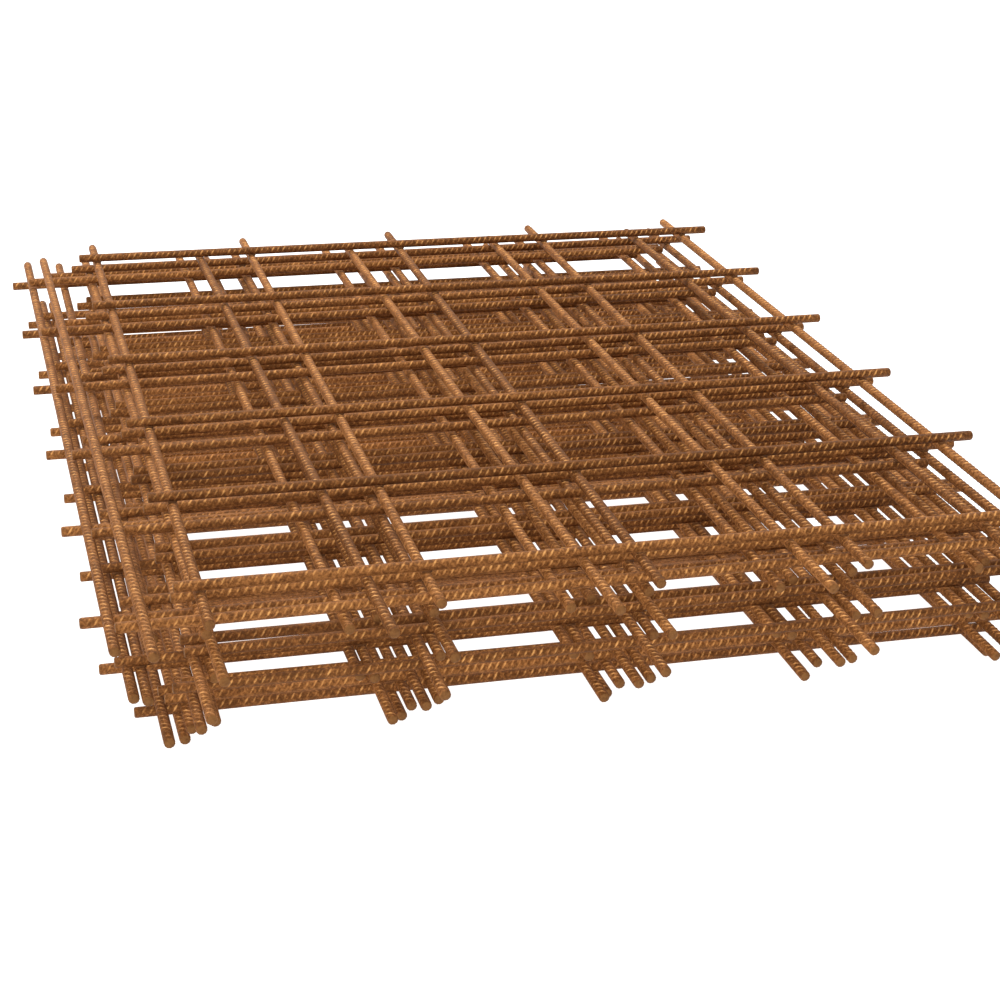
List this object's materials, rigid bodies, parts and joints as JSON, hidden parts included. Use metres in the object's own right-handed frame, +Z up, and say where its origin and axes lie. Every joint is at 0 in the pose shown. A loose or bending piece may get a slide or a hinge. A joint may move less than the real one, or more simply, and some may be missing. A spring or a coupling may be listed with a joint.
{
  "type": "stack of welded wire mesh sheets",
  "caption": "Flat stack of rusty welded steel reinforcing mesh sheets of ribbed bars in square meshes, nested with every other sheet turned over and their edges fanned out.",
  "frame": {"origin": "on the floor under the middle of the bottom sheet, on the underside of its centre long bar", "axes": "+X along the cross bars to the right, +Y along the long bars to the back, +Z up"},
  "size_m": [0.9572, 1.2746, 0.1751],
  "materials": {
    "rusty_steel": "matte"
  },
  "bodies": {
    "root": {"mesh_sheet_01": "rusty_steel", "mesh_sheet_02": "rusty_steel", "mesh_sheet_03": "rusty_steel", "mesh_sheet_04": "rusty_steel", "mesh_sheet_05": "rusty_steel", "mesh_sheet_06": "rusty_steel", "mesh_sheet_07": "rusty_steel", "mesh_sheet_08": "rusty_steel", "mesh_sheet_09": "rusty_steel", "mesh_sheet_10": "rusty_steel", "mesh_sheet_11": "rusty_steel", "mesh_sheet_12": "rusty_steel", "mesh_sheet_13": "rusty_steel", "mesh_sheet_14": "rusty_steel", "mesh_sheet_15": "rusty_steel"}
  },
  "joints": []
}
